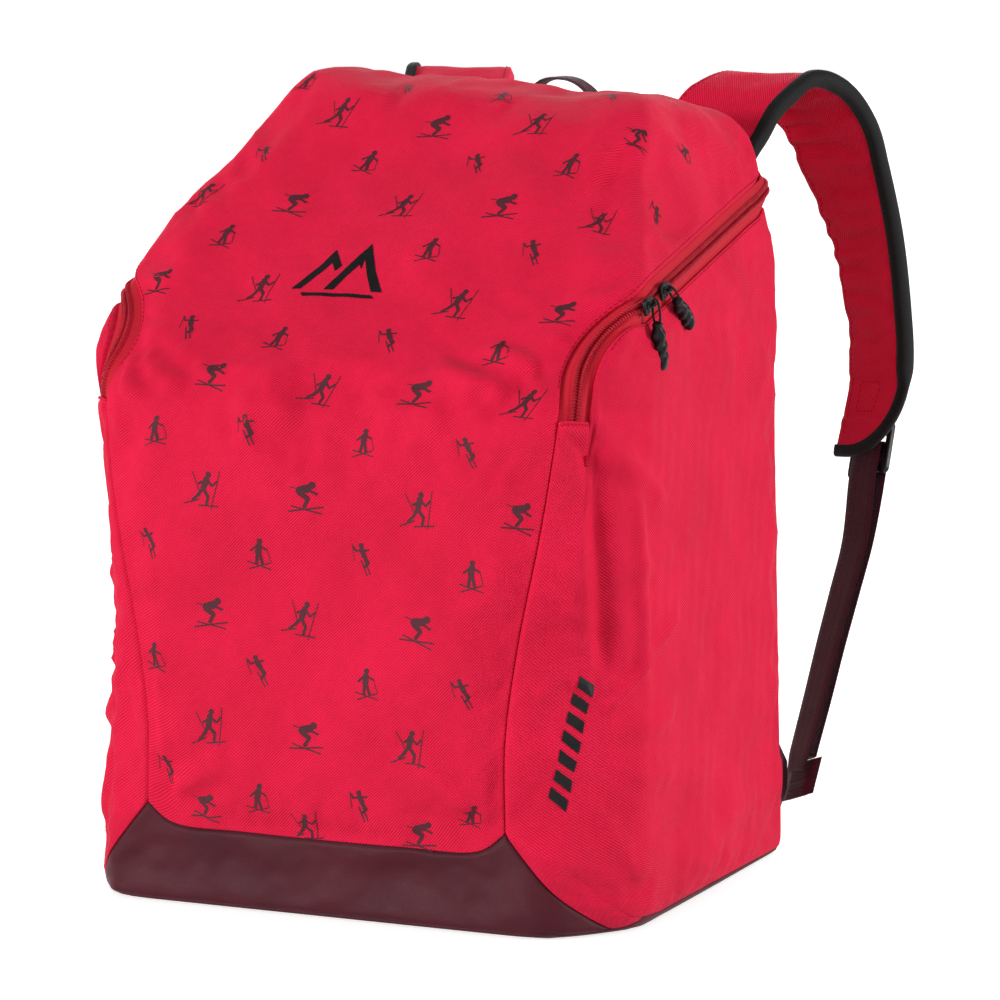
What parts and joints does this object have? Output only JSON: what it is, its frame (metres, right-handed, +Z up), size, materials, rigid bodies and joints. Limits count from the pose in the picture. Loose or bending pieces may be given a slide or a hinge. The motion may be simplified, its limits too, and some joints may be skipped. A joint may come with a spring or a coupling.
{
  "type": "ski boot backpack",
  "caption": "Upright backpack for ski boots: padded box-shaped bag with a fold-forward zipped lid, two curved shoulder straps, haul loop and back padding.",
  "frame": {"origin": "centre of the bag's flat underside, midway between the sides and on the plane it stands on", "axes": "+Z up, front of the bag faces -Y, shoulder straps on the +Y side, +X to the wearer's right"},
  "size_m": [0.3706, 0.4541, 0.4726],
  "materials": {
    "shell_fabric": "woven polyester, matt",
    "base_tarpaulin": "coated tarpaulin, slight sheen",
    "webbing": "woven narrow webbing",
    "zip_tape": "woven zip tape",
    "zip_coil": "coiled polyester monofilament",
    "hardware": "moulded, matt",
    "cord": "braided cord",
    "binding": "bound edge tape",
    "mesh_pad": "spacer mesh over foam",
    "board": "stiffener board"
  },
  "bodies": {
    "bag_body": {"base_panel": "base_tarpaulin", "base_board": "board", "front_base_patch": "base_tarpaulin", "front_panel": "shell_fabric", "side_panel_left": "shell_fabric", "side_panel_right": "shell_fabric", "back_panel": "shell_fabric", "back_board": "board", "zipper_coil_body": "zip_coil", "zipper_tape_body": "zip_tape", "zipper_pocket_left": "shell_fabric", "zipper_pocket_right": "shell_fabric", "strap_root_left": "shell_fabric", "strap_root_right": "shell_fabric", "strap_anchor_left": "webbing", "strap_anchor_right": "webbing", "strap_yoke": "base_tarpaulin", "back_pad_left": "mesh_pad", "back_pad_right": "mesh_pad", "lumbar_pad": "mesh_pad"},
    "lid": {"lid_panel": "shell_fabric", "zipper_coil_lid": "zip_coil", "zipper_tape_lid": "zip_tape"},
    "slider_low": {"slider_lower": "hardware"},
    "slider_high": {"slider_upper": "hardware"},
    "pull_low": {"pull_cord_lower": "cord", "pull_grip_lower": "hardware"},
    "pull_high": {"pull_cord_upper": "cord", "pull_grip_upper": "hardware"},
    "haul": {"haul_loop": "webbing"},
    "strap_left": {"strap_pad_left": "shell_fabric", "strap_rim_left": "binding", "buckle_tab_left": "webbing", "ladder_lock_left": "hardware", "adjuster_webbing_left": "webbing", "webbing_end_left": "webbing"},
    "strap_right": {"strap_pad_right": "shell_fabric", "strap_rim_right": "binding", "buckle_tab_right": "webbing", "ladder_lock_right": "hardware", "adjuster_webbing_right": "webbing", "webbing_end_right": "webbing"}
  },
  "joints": [
    {"name": "lid_hinge", "type": "hinge", "parent": "bag_body", "child": "lid", "pos_m": [0, -0.16, 0.288], "axis": [1, 0, 0], "range_deg": [0, 150]},
    {"name": "slider_lower_slide", "type": "slide", "parent": "bag_body", "child": "slider_low", "axis": [-0.1063, 0.9696, 0.2205], "range_m": [-0.015, 0]},
    {"name": "slider_upper_slide", "type": "slide", "parent": "bag_body", "child": "slider_high", "axis": [-0.1063, 0.9696, 0.2205], "range_m": [0, 0.165]},
    {"name": "pull_lower_swing", "type": "hinge", "parent": "slider_low", "child": "pull_low", "pos_m": [0.17307, -0.08729, 0.35136], "axis": [0.9948, 0.0995, 0.0206], "range_deg": [-44, 12]},
    {"name": "pull_upper_swing", "type": "hinge", "parent": "slider_high", "child": "pull_high", "pos_m": [0.17, -0.05929, 0.35773], "axis": [0.9948, 0.0995, 0.0206], "range_deg": [-43, 4]},
    {"name": "haul_loop_swing", "type": "hinge", "parent": "bag_body", "child": "haul", "pos_m": [0, 0.154, 0.403], "axis": [1, 0, 0], "range_deg": [-95, 0]},
    {"name": "strap_left_swing", "type": "hinge", "parent": "bag_body", "child": "strap_left", "pos_m": [-0.075, 0.166, 0.408], "axis": [-0.2029, 0.0027, -0.9792], "range_deg": [-12, 12]},
    {"name": "strap_right_swing", "type": "hinge", "parent": "bag_body", "child": "strap_right", "pos_m": [0.075, 0.166, 0.408], "axis": [0.2029, 0.0027, -0.9792], "range_deg": [-12, 12]}
  ]
}
